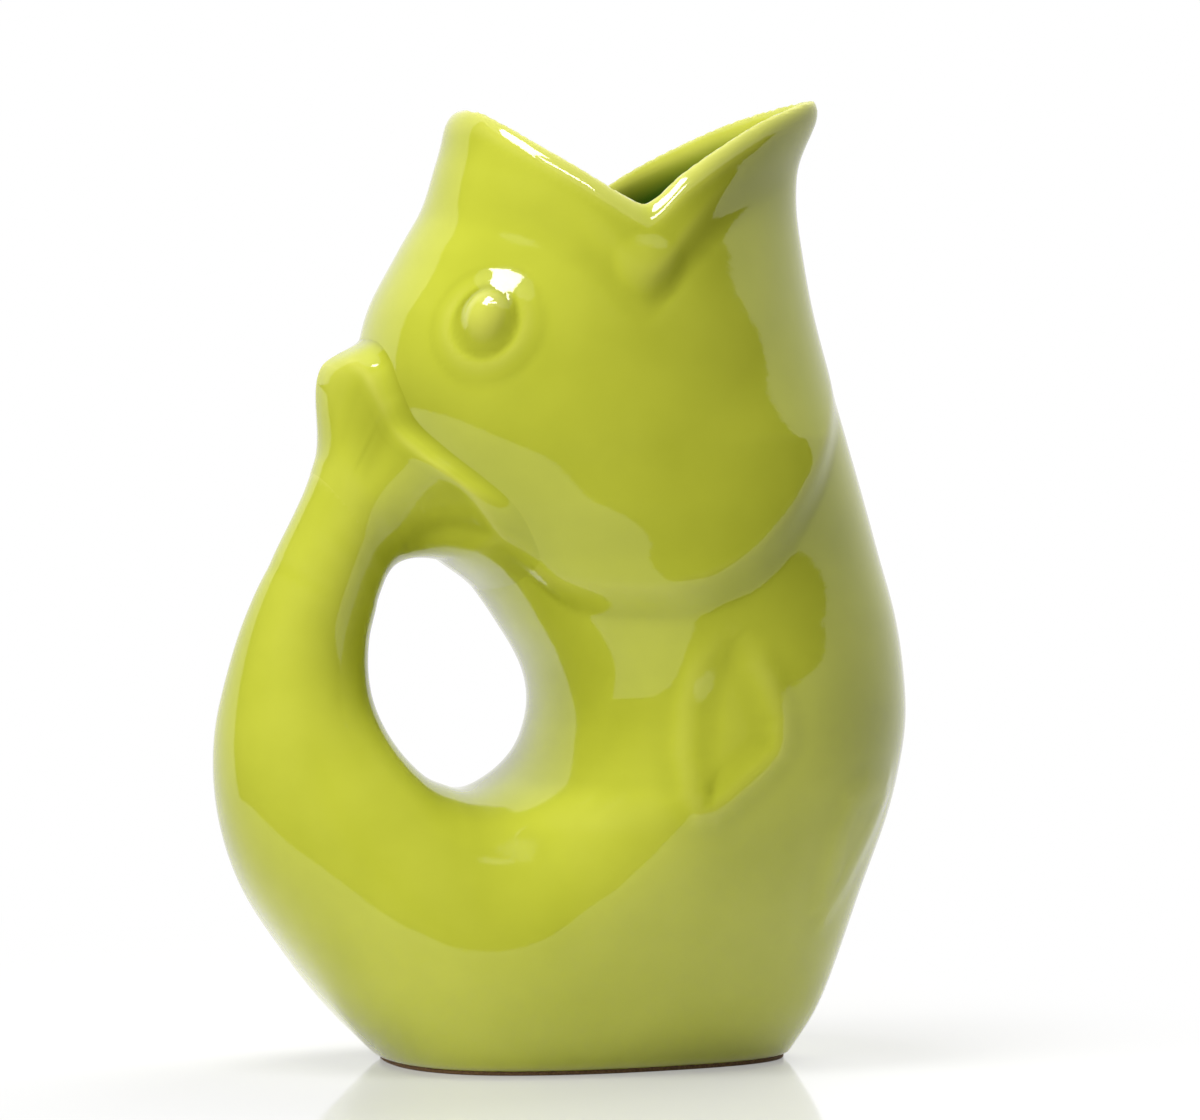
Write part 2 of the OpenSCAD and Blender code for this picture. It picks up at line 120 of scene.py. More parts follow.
# The cut at the rim: height over rim_z, slope outwards, depth in the skin where it has that height, and rounding
RIM_UP, RIM_LEAN, RIM_IN, RIM_ROUND = 1.0, 0.35, 3.6, 6.0
FLOOR_Z = 9.5  # top of the floor inside
FLOOR_ROUND = 5.0
FOOT_H = 0.9  # height of the bare foot ring
FOOT_ROUND = 1.4
FOOT_INSET = 0.8
FOOT_W = 7.0
FOOT_X, FOOT_TURNS = 5.0, 240  # where the ring's turns are counted from, and how many they are
RECESS_UP, RECESS_ROUND = 2.0, 0.8  # the floor's underside lies this much over the foot ring's top
GILL_STEP, GILL_FADE = 9.0, 34.0  # heights over which the gill cover steps up, and sinks back into the head
LIP_H, LIP_RISE = 1.3, 14.0  # how far the lips stand proud, and the height over which they rise
CREASE_BELOW, CREASE_W = 3.5, 4.5  # place under the lips' edge line and width of the crease
KNOB_H, KNOB_R = 0.7, 9.0  # the knob at each corner of the mouth
MOUND_H, MOUND_FROM, MOUND_RUN = 0.85, 8.6, 6.9  # the mound round each eye, and how its side runs out
GROOVE_D, GROOVE_R, GROOVE_W = 0.2, 8.2, 1.5  # the groove between eyeball and mound


def section(x, y, z):
    """The body's section at a height, as a share: 1 on the skin, 0 on its widest line, and the turn from the
    pouring lip in degrees. Each section is (dx / reach)^n + (y / half width)^n = 1, fuller or leaner in front."""
    front, back = front_x(z), back_x(z)
    middle = back + (front - back) * MIDDLE
    dx = x - middle
    reach = np.where(dx > 0, front - middle, middle - back)
    lean = ramp(dx / reach * 1.25 + 0.25)
    full = BACK_FULL + (front_full(z) - BACK_FULL) * lean
    share = ((np.abs(dx) / reach) ** full + (np.abs(y) / half_y(z)) ** full + 1e-9) ** (1 / full)
    return share, np.hypot(dx, y) + 1e-6, np.degrees(np.arctan2(np.abs(y), dx))


def skin_point(turn, z):
    """A point of the plain skin at a turn and a height, reached along the turn by dividing by the share there."""
    a = math.radians(turn)
    front, back = float(front_x(z)), float(back_x(z))
    middle = back + (front - back) * MIDDLE
    along = np.array([math.cos(a), math.sin(a)])
    out = np.array([1.0])
    for _ in range(12):
        share, _, _ = section(middle + along[0] * out, along[1] * out, np.array([float(z)]))
        out = out / share
    return np.array([middle + along[0] * out[0], along[1] * out[0], float(z)])


EYE = skin_point(130, 182.5)
EYE_R, EYE_TALL, EYE_SUNK, EYE_JOIN = 6.9, 1.22, 3.1, 1.5
EYE_AXIS_X = 8.0  # the eyeballs are sunk towards this place in the jug's middle plane
CORNER = skin_point(84, 197)


def body_relief(x, y, z, turn):
    """How far the skin stands proud of the plain section: the sum of these. The gill cover is a ramp up from its
    edge line, times a slower ramp down above it. The lips are a ramp up over their own edge line, less a bell under
    it for the crease. The corner of the mouth and the mound round the eye are ramps by the distance from their
    middle, with a bell for the groove inside the mound."""
    over_gill = z - gill_z(turn)
    gill = gill_h(turn) * ramp(over_gill / GILL_STEP + 0.5) * (1 - ramp(over_gill / GILL_FADE))
    over_lip = z - lip_z(turn)
    lips = LIP_H * ramp(over_lip / LIP_RISE + 0.6)
    crease = lip_crease(turn) * hill((over_lip + CREASE_BELOW) / CREASE_W)
    side = np.abs(y)
    eye = np.sqrt((x - EYE[0]) ** 2 + (side - EYE[1]) ** 2 + (z - EYE[2]) ** 2)
    mound = MOUND_H * (1 - ramp((eye - MOUND_FROM) / MOUND_RUN)) - GROOVE_D * hill((eye - GROOVE_R) / GROOVE_W)
    corner = np.sqrt((x - CORNER[0]) ** 2 + (side - CORNER[1]) ** 2 + (z - CORNER[2]) ** 2)
    return gill + lips - crease + mound + KNOB_H * (1 - ramp((corner - 1) / KNOB_R))


def inside_outline(a, b, corners):
    """Distance inwards from a closed outline with straight sides, negative outside it: the least distance to a
    side, with the sign of whether a line from the point crosses the sides an odd number of times."""
    near = np.full(np.shape(a), 1e9)
    inside = np.zeros(np.shape(a), bool)
    for (a0, b0), (a1, b1) in zip(corners, corners[1:] + corners[:1]):
        da, db = a1 - a0, b1 - b0
        t = np.clip(((a - a0) * da + (b - b0) * db) / (da * da + db * db), 0, 1)
        near = np.minimum(near, (a - a0 - t * da) ** 2 + (b - b0 - t * db) ** 2)
        inside ^= ((b0 > b) != (b1 > b)) & (a < a0 + (b - b0) / (db + 1e-9) * da)
    return np.sqrt(near) * np.where(inside, 1, -1)


# The belly fins, as outlines: the side fins in x and z, the front fins along the belly and in z from their middle

SIDE_FIN = [(23.5, 113), (20.3, 100.5), (17.7, 90), (16.8, 78.4), (18.1, 69.2), (21, 64), (24.5, 64), (28.5, 66.6),
            (37.6, 74.4), (41.2, 78.4), (42.2, 82), (41.9, 87.6), (39.7, 94), (37.1, 100.6), (36.2, 113)]
FRONT_FIN = [(-9, 13), (-3, 16), (8, 16), (10, 12), (8, 4), (3, -9), (-2, -17), (-6, -14), (-8, -5), (-10, 4)]
FRONT_AT = skin_point(39, 54)
FRONT_ALONG = skin_point(38, 54) - skin_point(40, 54)
FRONT_ALONG /= np.linalg.norm(FRONT_ALONG)
BORDER_H, BORDER_IN, BORDER_W = 0.7, 0.5, 3.4  # the side fin's border: height, place in from the outline, width
BORDER_TOP, HOLLOW_TOP, TOP_RUN = 95, 100, 14  # heights where its border and its hollow run out, and over which
HOLLOW_D, HOLLOW_IN, HOLLOW_RUN = 0.55, 2.3, 6.5  # its hollow: depth, where it begins, and how soon it is deep
FRONT_BORDER_H, FRONT_BORDER_W = 0.5, 3.6
FRONT_STEP_H, FRONT_STEP_OUT, FRONT_STEP_RUN = 0.6, 2, 7  # the front fin's step: height, start outside, run
FRONT_REACH, FRONT_AWAY = 30, -40  # how far from its plane the front fin counts, and its distance beyond that


def side_fin(x, z):
    """The side fin: the distance inwards from its outline, and the relief, which is a bell along the outline for
    the rolled border, less a ramp inwards for the shallow hollow. Both run out upwards under the gill cover."""
    e = inside_outline(x, z, SIDE_FIN)
    border = BORDER_H * hill((e - BORDER_IN) / BORDER_W) * (1 - ramp((z - BORDER_TOP) / TOP_RUN))
    hollow = HOLLOW_D * ramp((e - HOLLOW_IN) / HOLLOW_RUN) * (1 - ramp((z - HOLLOW_TOP) / TOP_RUN))
    return e, border - hollow


def front_fin(x, y, z):
    """The front fin, in a plane that lies against the belly: the distance inwards from its outline, and the relief,
    a bell along the outline and a low step up inside it."""
    a = (x - FRONT_AT[0]) * FRONT_ALONG[0] + (np.abs(y) - FRONT_AT[1]) * FRONT_ALONG[1]
    depth = np.abs((x - FRONT_AT[0]) * FRONT_ALONG[1] - (np.abs(y) - FRONT_AT[1]) * FRONT_ALONG[0])
    e = np.where(depth < FRONT_REACH, inside_outline(a, z - FRONT_AT[2], FRONT_FIN), FRONT_AWAY)
    border = FRONT_BORDER_H * hill(e / FRONT_BORDER_W)
    return e, border + FRONT_STEP_H * ramp((e + FRONT_STEP_OUT) / FRONT_STEP_RUN)


# The tail: its inner and outer edge and half its width by turn round the finger hole, in degrees

HOLE_X, HOLE_Z = -28.0, 96.0
TURNS = [116, 120, 124.4, 128, 132, 136, 140, 145, 150, 165, 180, 195, 210, 225, 240, 255, 270, 285, 300, 330]
inner_r = curve(TURNS, [30.4, 30.2, 29.2, 28.1, 27, 26, 24.9, 24, 23.3, 21.7, 20.9, 20.8, 21.2, 22.2, 23.8, 25.9,
                        27.1, 27, 25.5, 22.5])
outer_r = curve(TURNS, [69, 65, 61, 58.5, 56.6, 55.2, 54.2, 53.3, 52.7, 53.3, 55.8, 60.8, 66.6, 73.1, 80.2, 91.6,
                        106, 112, 112, 110])
tail_y = curve(TURNS, [17.6, 17.1, 16.6, 16.4, 16.2, 16.2, 16.2, 16.3, 16.5, 17.5, 19.5, 23, 27.5, 33, 38.5, 44,
                       48.5, 52, 55, 57])
tail_full = curve([150, 190, 230, 300], [2.0, 2.1, 2.35, 2.3])
FIN_TURN = 122.0  # where the fin's flare begins
HANDLE_END = 121.3  # where the handle ends inside the fin
HANDLE_ROOT = 312.0  # where the handle ends inside the belly
BORE_ON = 8.0  # how much further round its hollow is carried on
END_STEEP = 0.8  # slope of the field across the handle's end, in mm for each degree
ROOT_FROM, ROOT_RUN = 262.0, 63.0  # where the tail begins to blend into the belly, and over which turn


def tail_field(x, y, z):
    """Distance from the tail's skin, and the turn. In each plane through the finger hole's axis the skin is
    (distance from the middle line / half the thickness)^n + (y / half the width)^n = 1."""
    dx, dz = x - HOLE_X, z - HOLE_Z
    turn = np.degrees(np.arctan2(dz, dx)) % 360
    near, far, half = inner_r(turn), outer_r(turn), tail_y(turn)
    n = np.hypot(dx, dz) - (near + far) / 2
    full = tail_full(turn)
    share = ((np.abs(n) / (far - near) * 2) ** full + (np.abs(y) / half) ** full + 1e-9) ** (1 / full)
    rho = np.hypot(n, y) + 1e-6
    return rho - rho / share, turn


# The whole jug

def jug(x, y, z):
    """Everything that the shape functions know at a point: the field of the fired clay, negative inside it, and
    the fields that tell its pieces apart. The outer form is the body's skin with the eyeballs, joined with the
    tail: above the finger hole the lower of the two, below it a ramp from one to the other. The hollow is the same
    form without relief, a wall's thickness inside. The clay is what lies between, cut off at the floor, at the rim
    with a wide rounding that leans over the lips, and at the table, with a recess for the bare foot."""
    share, rho, turn = section(x, y, z)
    plain = rho - rho / share - body_relief(x, y, z, turn)
    side_edge, side_relief = side_fin(x, z)
    front_edge, front_relief = front_fin(x, y, z)
    skin = plain - side_relief - front_relief
    side = np.abs(y)
    eye_in = 1 - EYE_SUNK / np.hypot(EYE[0] - EYE_AXIS_X, EYE[1])
    ball = np.sqrt((x - EYE_AXIS_X - (EYE[0] - EYE_AXIS_X) * eye_in) ** 2 + (side - EYE[1] * eye_in) ** 2
                   + ((z - EYE[2]) / EYE_TALL) ** 2) - EYE_R
    skin = join(skin, ball, EYE_JOIN)
    tail, hole_turn = tail_field(x, y, z)
    top = np.minimum(skin, np.maximum(tail, (HANDLE_END - hole_turn) * END_STEEP))
    blend = ramp((hole_turn - ROOT_FROM) / ROOT_RUN)
    low = tail * (1 - blend) + skin * blend
    outer = np.where(hole_turn >= 180, low, top)
    bore_top = np.maximum(tail, (HANDLE_END - BORE_ON - hole_turn) * END_STEEP)
    hollow = np.where(hole_turn >= 180, tail * (1 - blend) + (rho - rho / share) * blend,
                      np.minimum(rho - rho / share, bore_top)) + WALL
    hollow = cut(hollow, FLOOR_Z - z, FLOOR_ROUND)
    clay = cut(outer, -hollow, WALL_ROUND)
    clay = cut(clay, z - rim_z(x) - RIM_UP + RIM_LEAN * (skin + RIM_IN), RIM_ROUND)
    clay = cut(clay, FOOT_H - z, FOOT_ROUND)
    recess = np.maximum(outer + FOOT_INSET + FOOT_W, z - FOOT_H - RECESS_UP)
    clay = cut(clay, -recess, RECESS_ROUND)
    return {"clay": clay, "outer": outer, "skin": skin, "hollow": hollow, "plain": plain, "tail": tail,
            "hole_turn": hole_turn, "ball": ball, "side_edge": side_edge, "front_edge": front_edge}


NAMES = ["air", "body", "tail_handle", "left_eye", "right_eye", "left_pectoral_fin",
         "right_pectoral_fin", "left_pelvic_fin", "right_pelvic_fin"]
PAD_DEPTH = 2.8  # how deep an eye or a belly fin reaches into the wall
EYE_PAD, FIN_PAD = 1.2, 3.0  # how far they reach beyond the eyeball and the fin's outline


def labels(j, y):
    """Which piece each sample belongs to, as its place in NAMES. The tail begins where its own field is the lower
    one. An eye or a belly fin reaches from its outline a little way into the wall, so each joint cuts squarely
    through the skin. A crumb of body in the tail, with fewer than two samples of body next to it, goes to the
    tail."""
    inside = j["clay"] < 0
    near_skin = inside & (j["plain"] > -PAD_DEPTH)
    label = inside.astype(np.int8)
    on_handle = (j["hole_turn"] > HANDLE_END - 2) & (j["hole_turn"] < HANDLE_ROOT)
    label[inside & (j["tail"] < j["plain"]) & on_handle] = 2
    label[near_skin & (j["ball"] < EYE_PAD)] = 4
    label[near_skin & (j["side_edge"] > -FIN_PAD)] = 6
    label[near_skin & (j["front_edge"] > -FIN_PAD)] = 8
    label[(label >= 4) & (y > 0)] -= 1
    body, tail = label == 1, label == 2
    steps = [(way, a) for a in range(3) for way in (1, -1)]
    body_near = sum(np.roll(body, way, a).astype(np.int8) for way, a in steps)
    tail_near = sum(np.roll(tail, way, a).astype(np.int8) for way, a in steps)
    label[body & (body_near < 2) & (tail_near > 0)] = 2
    return label


def gradient(p, field="clay", step=0.08):
    """The slope of a field, from its difference over a short step each way."""
    out = np.empty_like(p)
    for a in range(3):
        d = np.zeros(3)
        d[a] = step
        out[:, a] = (jug(*(p + d).T)[field] - jug(*(p - d).T)[field]) / (2 * step)
    return out


def curvature(p, field="clay", step=2.0):
    """How sharply a field's skin is bent, in 1/mm, above 0 on a ridge and below 0 in a crease: the sum of the
    field's second differences."""
    total = -6 * jug(*p.T)[field]
    for a in range(3):
        d = np.zeros(3)
        d[a] = step
        total += jug(*(p + d).T)[field] + jug(*(p - d).T)[field]
    return total / step**2


def inside_shade_mask(p):
    """Where the glaze's colour is painted with the dark shade inside the jug: 0 on the outside, and 1 on the inner
    wall well below the rim, over about 10 mm.
    """
    j = jug(*p.T)
    return (1 - ramp(j["hollow"] / 4)) * ramp((rim_z(p[:, 0]) - p[:, 2] - 0.5) / 10)


def shell_net(cell, low, high):
    """The surface between samples of unlike labels, on a grid of cells: one point in each cell that holds more than
    one label, at the mean of where the field crosses its edges, and one face for each pair of neighbours that
    differ. Faces carry the labels on both sides, and their points are moved onto the field's zero."""
    axes = [np.arange(low[a], high[a] + cell, cell) for a in range(3)]
    x, y, z = np.meshgrid(*axes, indexing="ij")
    j = jug(x, y, z)
    field, label = j["clay"], labels(j, y)
    air = label == 0
    shape = tuple(n - 1 for n in label.shape)
    corner = [tuple(slice(o[a], o[a] + shape[a]) for a in range(3)) for o in np.ndindex(2, 2, 2)]
    mixed = np.zeros(shape, bool)
    for c in corner[1:]:
        mixed |= label[c] != label[corner[0]]
    number = np.full(shape, -1, np.int64)
    number[mixed] = np.arange(mixed.sum())
    cells = np.stack(np.nonzero(mixed), 1)
    total = np.zeros((len(cells), 3))
    weight = np.zeros(len(cells))
    for start in np.ndindex(2, 2, 2):
        for a in range(3):
            if start[a]:
                continue
            end = np.array(start)
            end[a] = 1
            s, e = tuple((cells + start).T), tuple((cells + end).T)
            differ = label[s] != label[e]
            surface = air[s] != air[e]
            t = np.where(surface, field[s] / np.where(surface, field[s] - field[e], 1), 0.5)
            w = np.where(surface, 1.0, 1e-4) * differ
            place = (cells + start).astype(float)
            place[:, a] += np.clip(t, 0, 1)
            total += place * w[:, None]
            weight += w
    points = total / weight[:, None] * cell + np.array(low)
    quads, sides = [], []
    for a in range(3):
        o1, o2 = [k for k in range(3) if k != a]
        first = tuple(slice(0, -1) if k == a else slice(1, -1) for k in range(3))
        second = tuple(slice(1, None) if k == a else slice(1, -1) for k in range(3))
        near, far = label[first], label[second]
        where = list(np.nonzero(near != far))
        pair = np.stack([near[tuple(where)], far[tuple(where)]], 1)
        where[o1] = where[o1] + 1
        where[o2] = where[o2] + 1
        ring = []
        for d1, d2 in ((1, 1), (0, 1), (0, 0), (1, 0)):
            q = [w.copy() for w in where]
            q[o1] -= d1
            q[o2] -= d2
            ring.append(number[tuple(q)])
        quad = np.stack(ring, 1)
        quads.append(quad[:, ::-1] if a == 1 else quad)
        sides.append(pair)
    quads, sides = np.concatenate(quads), np.concatenate(sides)
    on_air = np.zeros(len(points), bool)
    on_air[quads[(sides == 0).any(1)]] = True
    skin = points[on_air]
    for _ in range(3):
        slope = gradient(skin)
        step = -jug(*skin.T)["clay"] / np.maximum((slope**2).sum(1), 0.15)
        skin = skin + slope * np.clip(step, -0.6 * cell, 0.6 * cell)[:, None]
    points[on_air] = skin
    normals = np.zeros_like(points)
    slope = gradient(skin)
    normals[on_air] = slope / (np.linalg.norm(slope, axis=1)[:, None] + 1e-9)
    return points, normals, curvature(points), inside_shade_mask(points), quads, sides


def make_mesh(name, points, faces, normals=None, **shades):
    """A mesh object from millimetre points and faces, smooth, with its corners' normals where they are given. Each
    shade is a value from -0.5 to 1 at each point, kept as an attribute for the glaze to read."""
    mesh = bpy.data.meshes.new(name)
    mesh.from_pydata((points * MM).tolist(), [], [list(f) for f in faces])
    mesh.polygons.foreach_set("use_smooth", np.ones(len(mesh.polygons), bool))
    for shade, values in shades.items():
        mesh.attributes.new(shade, "FLOAT", "POINT").data.foreach_set("value", np.clip(values, -0.5, 1))
    if normals is not None:
        mesh.normals_split_custom_set(normals.tolist())
    mesh.update()
    piece = bpy.data.objects.new(name, mesh)
    bpy.context.scene.collection.objects.link(piece)
    return piece


def cut_pieces(net):
    """Splits the net into closed pieces, one for each label. Where a face meets the air it takes the field's
    normals, so the glaze runs on over the joints without a seam."""
    points, normals, bent, inner, quads, sides = net
    pieces = {}
    for k in range(1, len(NAMES)):
        own, other = sides[:, 0] == k, sides[:, 1] == k
        faces = np.concatenate([quads[own], quads[other][:, ::-1]])
        open_air = np.concatenate([sides[own, 1] == 0, sides[other, 0] == 0])
        skin, joint = faces[open_air], faces[~open_air]
        deep = np.argmin(np.abs(normals[joint]).sum(2), axis=1)
        joint = np.take_along_axis(joint, (np.arange(4) + deep[:, None]) % 4, 1)
        joint = np.concatenate([joint[:, [0, 1, 2]], joint[:, [0, 2, 3]]])
        used, index = np.unique(np.concatenate([skin.ravel(), joint.ravel()]), return_inverse=True)
        p = points[used]
        index_skin, index_joint = index[:skin.size].reshape(-1, 4), index[skin.size:].reshape(-1, 3)
        flat = np.cross(p[index_joint[:, 1]] - p[index_joint[:, 0]], p[index_joint[:, 2]] - p[index_joint[:, 0]])
        flat /= np.linalg.norm(flat, axis=1)[:, None] + 1e-12
        corner = np.concatenate([normals[skin].reshape(-1, 3), np.repeat(flat, 3, axis=0)])
        index = index_skin.tolist() + index_joint.tolist()
        # inner is where the glaze's colour is painted darker, as the shade inside the jug
        pieces[NAMES[k]] = make_mesh(NAMES[k], p, index, corner, bent=bent[used], inner=inner[used])
    return pieces


CELL = 1.46
NET_LOW, NET_HIGH = (-91.0, -63.7, -2.6), (91.0, 63.7, 243.1)  # the box that the net is drawn in
pieces = cut_pieces(shell_net(CELL, NET_LOW, NET_HIGH))


def foot_ring():
    """The wiped foot: a low ring that follows the body's outline, drawn in a little, with its lower edges rounded.
    The outline is found by halving, as the distance at which the body's field has the inset's value."""
    turns = np.radians(np.linspace(0, 360, FOOT_TURNS, endpoint=False))
    out = np.stack([np.cos(turns), np.sin(turns)], 1)
    short, long = np.full(FOOT_TURNS, 8.0), np.full(FOOT_TURNS, 75.0)
    for _ in range(24):
        r = (short + long) / 2
        field = jug(FOOT_X + out[:, 0] * r, out[:, 1] * r, np.full(FOOT_TURNS, FOOT_H))["outer"]
        inside = field < -FOOT_INSET
        short, long = np.where(inside, r, short), np.where(inside, long, r)
    inset = np.array([0, 0, 0.3, FOOT_W - 0.3, FOOT_W, FOOT_W])
    level = np.array([FOOT_H + 0.3, 0.3, 0, 0, 0.3, FOOT_H + 0.3])
    ring = np.array([FOOT_X, 0]) + out[:, None, :] * (r[:, None, None] - inset[None, :, None])
    points = np.concatenate([ring, np.broadcast_to(level[None, :, None], ring.shape[:2] + (1,))], 2)
    n, m = len(turns), len(inset)
    a = np.arange(n)[:, None] * m + np.arange(m)[None, :]
    b = np.roll(a, -1, 0)
    faces = np.stack([a, np.roll(a, -1, 1), np.roll(b, -1, 1), b], -1).reshape(-1, 4)
    return make_mesh("foot_ring", points.reshape(-1, 3), faces)


pieces["foot_ring"] = foot_ring()


# The tail's fin: its lip round the back of the head by turn round the tail, 0 at the top and 180 at the bottom

EDGE_TURNS = [0, 20, 40, 55, 70, 85, 100, 115, 130, 145, 160, 180]
edge_height = curve(EDGE_TURNS, [24.6, 23.6, 19.4, 13, 7, 2, -3, -8, -14, -19.5, -24, -25.7])
edge_width = curve(EDGE_TURNS, [0, 9.4, 15, 17.6, 19.4, 25, 31, 35, 35.3, 33, 21, 0])
edge_stand = curve(EDGE_TURNS, [7.4, 6.4, 5, 4.2, 4, 4.2, 4.5, 4.7, 4.8, 4.8, 4.4, 4])
lip_width = curve([0, 20, 40, 60, 110, 150, 180], [5.4, 6, 6.8, 7.4, 8.5, 9, 9])
roll_over = curve([0, 10, 24, 40, 60], [0.9, 0.8, 0.5, 0.2, 0])
pinch = curve([0, 20, 45, 80, 120, 180], [0, 1.8, 4.2, 3.6, 1.5, 0])
bend_share = curve([0, 40, 80, 180], [0.42, 0.42, 0.45, 0.45])
FIN_Z = 150.0  # height of the fin's middle
ON_TAIL = ((126.0, -0.6), (124.6, 0.04), (123.4, 0.04), (122.6, 0.04))  # rows on the tail: turn and stand-off
FLARE_ROWS, LIP_ROWS = 64, 26
ROLL_BEHIND = [-8.8, 0, -2.4]  # from the crest to the flare's last control, where the lip rolls over
EVEN_ROWS, EVEN_PASSES = 7, 14  # rows each side of the crest that are evened out, and how often
SKIN_ROWS = 6  # rows at the lip's edge that take the skin's normals


def tube_point(turn, side, grow):
    """The tail's skin: at a turn round the hole, an ellipse between its inner and outer edge, by the turn side."""
    near, far, half = inner_r(turn), outer_r(turn), tail_y(turn)
    r = (near + far) / 2 + ((far - near) / 2 + grow) * np.cos(side)
    a = np.radians(turn)
    return np.stack([HOLE_X + r * np.cos(a), (half + grow) * np.sin(side), HOLE_Z + r * np.sin(a)], -1)


def back_point(y, z, stand):
    """The body's back at a distance to the side and a height, standing off it. It is the section's formula, solved
    for x."""
    front, back, half = front_x(z), back_x(z), half_y(z)
    middle = back + (front - back) * MIDDLE
    x = -(middle - back) * (1 - np.minimum(np.abs(y) / half, 0.98) ** BACK_FULL) ** (1 / BACK_FULL)
    grow = 1 + stand / np.hypot(x, y)
    return np.stack([middle + x * grow, y * grow, z], -1)


def fin_edge(side, spread, stand):
    """The fin's lip round the back of the head, spread outwards and standing off the skin."""
    f = np.degrees(side)
    f = np.where(f > 180, 360 - f, f)
    y = np.where(side > np.pi, -1, 1) * edge_width(f) + spread * np.sin(side)
    return back_point(y, FIN_Z + edge_height(f) + spread * np.cos(side), stand)


def lift(p, level):
    """Moves points along the skin field's slope until they stand at a level over the skin."""
    for _ in range(5):
        slope = gradient(p, "skin")
        gap = level - jug(p[:, 0], p[:, 1], p[:, 2])["skin"]
        p = p + slope * (gap / np.maximum((slope**2).sum(1), 0.3))[:, None]
    return p


def fin_grid(side, folded):
    """The fin's points by row and by turn round the tail. The first rows lie on the tail's skin. The flare is a
    cubic Bezier curve from there to the crest of the lip. Its first control runs on along the tail; its second is
    pinched in towards the middle of the cup, and at the top stands behind the crest, so that the lip rolls over.
    The lip then falls from the crest to the head's skin as (1 - t)^2.4 (1 + 1.5t). At last the rows next to the
    crest are evened out, which rounds it."""
    rows = [tube_point(turn, side, stand) for turn, stand in ON_TAIL]
    start = tube_point(FIN_TURN, side, 0.04)
    crest = fin_edge(side, 0, edge_stand(folded))
    ahead = tube_point(FIN_TURN - 0.5, side, 0.04) - tube_point(FIN_TURN + 0.5, side, 0.04)
    ahead /= np.linalg.norm(ahead, axis=1)[:, None]
    inwards = start - tube_point(FIN_TURN, side, 1.04)
    bend = start + ahead * (bend_share(folded) * np.linalg.norm(crest - start, axis=1))[:, None]
    dip = bend + inwards * pinch(folded)[:, None] * 1.2
    roll = roll_over(folded)[:, None]
    first = (start + 2 * bend) / 3
    second = (crest + 2 * dip) / 3 * (1 - roll) + (crest + ROLL_BEHIND) * roll
    for t in np.linspace(0, 1, FLARE_ROWS):
        rows.append((1 - t) ** 3 * start + 3 * (1 - t) ** 2 * t * first + 3 * (1 - t) * t * t * second
                    + t**3 * crest)
    top = len(rows) - 1
    stand = jug(crest[:, 0], crest[:, 1], crest[:, 2])["skin"]
    width = lip_width(folded)
    for t in np.linspace(0, 1, LIP_ROWS)[1:]:
        level = stand * (1 - t) ** 2.4 * (1 + 1.5 * t) - 0.06 * t
        rows.append(lift(fin_edge(side, width * t, level), level))
    rows.append(lift(fin_edge(side, width * 1.06, -0.5), -0.5))
    grid = np.stack(rows)
    first_row, last_row = top - EVEN_ROWS, top + EVEN_ROWS + 1
    for _ in range(EVEN_PASSES):
        grid[first_row:last_row] = (grid[first_row - 1:last_row - 1] + 2 * grid[first_row:last_row]
                                    + grid[first_row + 1:last_row + 1]) / 4
    return grid


def tail_fin():
    """The fin's grid as a closed mesh. Its normals are the cross product of its two directions, and the tail's and
    the skin's own where it lies on them. How sharply it is bent comes from second differences over its points, and
    passes over from the tail's own value in the first rows of the flare."""
    sides = 300
    side = np.linspace(0, 2 * np.pi, sides, endpoint=False)
    folded = np.degrees(side)
    folded = np.where(folded > 180, 360 - folded, folded)
    grid = fin_grid(side, folded)
    count, on_tail = len(grid), len(ON_TAIL)
    around = np.roll(grid, -1, 1) - np.roll(grid, 1, 1)
    normal = np.cross(np.gradient(grid, axis=0), around)
    normal[:on_tail] = gradient(grid[:on_tail].reshape(-1, 3), "tail").reshape(on_tail, sides, 3)
    on_skin = grid[-SKIN_ROWS:].reshape(-1, 3)
    normal[-SKIN_ROWS:] = gradient(on_skin, "skin").reshape(SKIN_ROWS, sides, 3)
    normal /= np.linalg.norm(normal, axis=2)[..., None]
    bent = np.zeros(grid.shape[:2])
    k = max(sides // 100, 1)
    for before, after in ((np.roll(grid, k, 1), np.roll(grid, -k, 1)),
                          (np.concatenate([grid[:3], grid[:-3]]), np.concatenate([grid[3:], grid[-3:]]))):
        span = np.maximum(np.linalg.norm(after - before, axis=2), 1.0)
        bent -= 4 * ((before + after - 2 * grid) * normal).sum(2) / span**2
    own = ramp((np.arange(count) - on_tail) / 24)[:, None]
    bent = bent * own + curvature(grid[on_tail], "tail") * (1 - own)
    bent[-SKIN_ROWS:] = curvature(on_skin, "skin").reshape(SKIN_ROWS, sides)
    index = np.arange(count * sides).reshape(count, sides)
    right = np.roll(index, -1, 1)
    quads = np.stack([index[:-1], index[1:], right[1:], right[:-1]], -1).reshape(-1, 4)
    points = np.concatenate([grid.reshape(-1, 3), [grid[0].mean(0)], [grid[-1].mean(0)]])
    start_fan = np.stack([index[0], right[0], np.full(sides, count * sides)], -1)
    end_fan = np.stack([right[-1], index[-1], np.full(sides, count * sides + 1)], -1)
    faces = quads.tolist() + start_fan.tolist() + end_fan.tolist()
    corner = np.concatenate([normal.reshape(-1, 3)[quads].reshape(-1, 3), np.zeros((6 * sides, 3))])
    return make_mesh("tail_fin", points, faces, corner, bent=np.append(bent.ravel(), [0, 0]))


pieces["tail_fin"] = tail_fin()


# Materials

def srgb(code):
    """A six digit sRGB colour as linear red, green, blue and alpha."""
    parts = [int(code[i:i + 2], 16) / 255 for i in (0, 2, 4)]
    return [c / 12.92 if c <= 0.04045 else ((c + 0.055) / 1.055) ** 2.4 for c in parts] + [1.0]


def new_material(name):
    """An empty material and its node tree."""
    material = bpy.data.materials.new(name)
    material.use_nodes = True
    material.node_tree.nodes.clear()
    return material, material.node_tree


